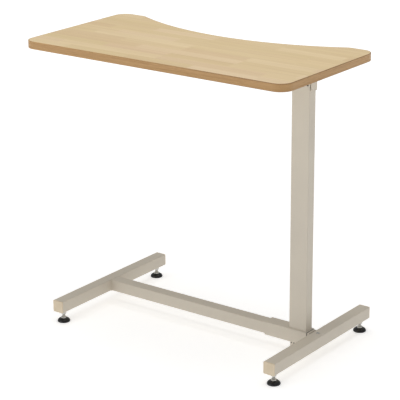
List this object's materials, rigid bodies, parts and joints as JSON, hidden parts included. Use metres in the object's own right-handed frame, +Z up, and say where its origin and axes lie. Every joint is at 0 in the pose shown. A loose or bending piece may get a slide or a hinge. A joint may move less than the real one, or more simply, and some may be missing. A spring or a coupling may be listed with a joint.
{
  "type": "overbed table",
  "caption": "Fixed-height overbed table: hollow-backed wood-grain top cantilevered from one post on an H-shaped tube base with screw levelling feet.",
  "frame": {"origin": "on the floor, at the middle of the footprint's bounding box", "axes": "+X along the long side towards the post, +Y towards the hollowed back edge, +Z up"},
  "size_m": [0.8, 0.445, 0.75],
  "materials": {
    "core_board": "raw particle board",
    "top_laminate": "satin wood-grain laminate, pale finger-jointed staves",
    "backing_laminate": "matt balancing laminate",
    "edge_band": "satin brown wood-grain edge band",
    "powder_coat": "satin greige powder coat with a fine texture",
    "cap_plastic": "moulded beige plastic",
    "zinc_steel": "bright zinc plating",
    "black_plastic": "black moulded plastic, slightly glossy"
  },
  "bodies": {
    "table_frame": {"table_core": "core_board", "top_laminate": "top_laminate", "backing_laminate": "backing_laminate", "edge_band": "edge_band", "left_strap": "powder_coat", "middle_strap": "powder_coat", "head_bracket": "powder_coat", "support_arm": "powder_coat", "arm_end_cap": "cap_plastic", "board_screws": "zinc_steel", "post": "powder_coat", "post_sleeve": "powder_coat", "cross_beam": "powder_coat", "left_foot": "powder_coat", "right_foot": "powder_coat", "left_foot_front_cap": "cap_plastic", "left_foot_back_cap": "cap_plastic", "right_foot_front_cap": "cap_plastic", "right_foot_back_cap": "cap_plastic", "foot_spigot": "zinc_steel", "beam_collar": "powder_coat", "lock_screw": "zinc_steel", "clamp_bolts": "zinc_steel", "clamp_block": "powder_coat", "block_screws": "black_plastic", "leveler_inserts": "zinc_steel", "leveler_lock_nuts": "zinc_steel"},
    "left_front_pad": {"left_front_leveler_pad": "black_plastic"},
    "left_front_stem": {"left_front_leveler_stem": "zinc_steel"},
    "left_back_pad": {"left_back_leveler_pad": "black_plastic"},
    "left_back_stem": {"left_back_leveler_stem": "zinc_steel"},
    "right_front_pad": {"right_front_leveler_pad": "black_plastic"},
    "right_front_stem": {"right_front_leveler_stem": "zinc_steel"},
    "right_back_pad": {"right_back_leveler_pad": "black_plastic"},
    "right_back_stem": {"right_back_leveler_stem": "zinc_steel"}
  },
  "joints": [
    {"name": "left_front_leveler_travel", "type": "slide", "parent": "table_frame", "child": "left_front_pad", "axis": [0, 0, 1], "range_m": [-0.0081, 0.0081]},
    {"name": "left_front_leveler_turn", "type": "hinge", "parent": "left_front_pad", "child": "left_front_stem", "pos_m": [-0.299, -0.2, 0], "axis": [0, 0, 1], "range_deg": [-2304, 2304]},
    {"name": "left_back_leveler_travel", "type": "slide", "parent": "table_frame", "child": "left_back_pad", "axis": [0, 0, 1], "range_m": [-0.0081, 0.0081]},
    {"name": "left_back_leveler_turn", "type": "hinge", "parent": "left_back_pad", "child": "left_back_stem", "pos_m": [-0.299, 0.2, 0], "axis": [0, 0, 1], "range_deg": [-2304, 2304]},
    {"name": "right_front_leveler_travel", "type": "slide", "parent": "table_frame", "child": "right_front_pad", "axis": [0, 0, 1], "range_m": [-0.0081, 0.0081]},
    {"name": "right_front_leveler_turn", "type": "hinge", "parent": "right_front_pad", "child": "right_front_stem", "pos_m": [0.373, -0.2, 0], "axis": [0, 0, 1], "range_deg": [-2304, 2304]},
    {"name": "right_back_leveler_travel", "type": "slide", "parent": "table_frame", "child": "right_back_pad", "axis": [0, 0, 1], "range_m": [-0.0081, 0.0081]},
    {"name": "right_back_leveler_turn", "type": "hinge", "parent": "right_back_pad", "child": "right_back_stem", "pos_m": [0.373, 0.2, 0], "axis": [0, 0, 1], "range_deg": [-2304, 2304]}
  ],
  "couplings": [
    {"joint": "left_front_leveler_travel", "follows": "left_front_leveler_turn", "m_per_rad": 0.00019894},
    {"joint": "left_back_leveler_travel", "follows": "left_back_leveler_turn", "m_per_rad": 0.00019894},
    {"joint": "right_front_leveler_travel", "follows": "right_front_leveler_turn", "m_per_rad": 0.00019894},
    {"joint": "right_back_leveler_travel", "follows": "right_back_leveler_turn", "m_per_rad": 0.00019894}
  ]
}
